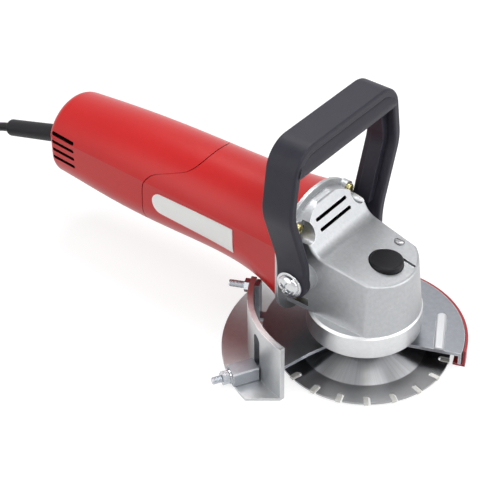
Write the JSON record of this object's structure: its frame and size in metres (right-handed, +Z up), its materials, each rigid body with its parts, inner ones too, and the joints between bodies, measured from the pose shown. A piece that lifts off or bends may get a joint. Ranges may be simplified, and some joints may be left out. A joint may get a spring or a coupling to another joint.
{
  "type": "jamb saw",
  "caption": "Hand held jamb saw: red motor barrel, angled gear head, bail handle and a flat dished circular blade under a half guard on a height-set base.",
  "frame": {"origin": "on the floor under the middle of the tool, cord left out", "axes": "+X towards the blade and nose, +Y towards the far side of the picture, +Z up"},
  "size_m": [0.7183, 0.2462, 0.235],
  "materials": {
    "red_plastic": "gloss",
    "cast_aluminium": "as cast",
    "black_plastic": "fine grain",
    "blade_steel": "ground",
    "carbide": "sintered",
    "turned_steel": "turned",
    "bright_plate": "plated",
    "yellow_zinc": "yellow zinc plate",
    "red_paint": "gloss paint",
    "guard_aluminium": "satin",
    "lamination_steel": "stacked sheets",
    "copper": "enamelled wire",
    "bush_bronze": "sintered",
    "carbon": "pressed carbon",
    "inner_plastic": "moulded",
    "label_white": "printed film, left blank",
    "cord_rubber": "satin rubber",
    "pin_brass": "bright"
  },
  "bodies": {
    "housing": {"motor_housing": "red_plastic", "rear_cover": "red_plastic", "gear_case": "cast_aluminium", "bearing_cover": "cast_aluminium", "stator_core": "lamination_steel", "field_coils": "copper", "brush_holders": "inner_plastic", "carbon_brushes": "carbon", "spindle_bearing": "turned_steel", "front_bearing": "turned_steel", "rear_bearing": "turned_steel", "spindle_bush": "bush_bronze", "fan_baffle": "inner_plastic", "case_screws": "yellow_zinc", "cover_screws": "yellow_zinc", "rear_cover_screws": "yellow_zinc", "switch_body": "inner_plastic", "cord_clamp": "inner_plastic", "strain_relief": "cord_rubber", "label_plate": "label_white", "handle_bolts": "bright_plate", "grease_plug": "turned_steel", "lock_spring": "turned_steel", "cord_run": "cord_rubber", "cord_coil": "cord_rubber", "cord_tie": "black_plastic", "mains_plug": "cord_rubber", "plug_pins": "pin_brass"},
    "armature": {"armature_shaft": "turned_steel", "armature_core": "lamination_steel", "armature_windings": "copper", "commutator": "copper", "cooling_fan": "inner_plastic", "pinion": "turned_steel"},
    "spindle": {"spindle": "turned_steel", "bevel_gear": "turned_steel", "saw_blade": "blade_steel", "carbide_tips": "carbide", "inner_flange": "turned_steel", "blade_nut": "turned_steel"},
    "guard": {"guard_plate": "guard_aluminium", "guard_screw": "yellow_zinc", "height_stud": "yellow_zinc", "clamp_block": "cast_aluminium"},
    "base": {"base_bracket": "guard_aluminium", "red_band": "red_paint", "band_rivets": "turned_steel"},
    "height_nut": {"height_nut": "yellow_zinc"},
    "lock_screw": {"lock_screw": "yellow_zinc", "lock_nut": "yellow_zinc"},
    "handle": {"bail_handle": "black_plastic"},
    "lock_button": {"lock_button": "black_plastic", "lock_pin": "turned_steel"},
    "switch_slider": {"switch_slider": "black_plastic"}
  },
  "joints": [
    {"name": "spindle_spin", "type": "hinge", "parent": "housing", "child": "spindle", "pos_m": [0.17378, 0.00756, 0.0944], "axis": [0, 0, 1], "continuous": true},
    {"name": "armature_spin", "type": "hinge", "parent": "housing", "child": "armature", "pos_m": [0.17378, 0.00756, 0.0944], "axis": [1, 0, 0], "continuous": true},
    {"name": "guard_turn", "type": "hinge", "parent": "housing", "child": "guard", "pos_m": [0.17378, 0.00756, 0.024], "axis": [0, 0, 1], "range_deg": [0, 40]},
    {"name": "base_slide", "type": "slide", "parent": "guard", "child": "base", "axis": [0, 0, -1], "range_m": [0, 0.028]},
    {"name": "height_nut_turn", "type": "hinge", "parent": "guard", "child": "height_nut", "pos_m": [0.11075, -0.10614, 0.01], "axis": [-0.4848, -0.8746, 0], "continuous": true},
    {"name": "lock_screw_turn", "type": "hinge", "parent": "base", "child": "lock_screw", "pos_m": [0.07862, -0.03681, 0.0515], "axis": [-0.9063, -0.4226, 0], "continuous": true},
    {"name": "handle_tilt", "type": "hinge", "parent": "housing", "child": "handle", "pos_m": [0.13603, 0.00756, 0.091], "axis": [0, 1, 0], "range_deg": [0, 35]},
    {"name": "button_press", "type": "slide", "parent": "housing", "child": "lock_button", "axis": [0, 0, -1], "range_m": [0, 0.0035], "stiffness_N_per_m": 900, "springref_m": -0.002, "deforming": ["lock_spring"]},
    {"name": "switch_slide", "type": "slide", "parent": "housing", "child": "switch_slider", "axis": [1, 0, 0], "range_m": [0, 0.008]}
  ],
  "couplings": [
    {"joint": "armature_spin", "follows": "spindle_spin", "ratio": -3.7}
  ]
}
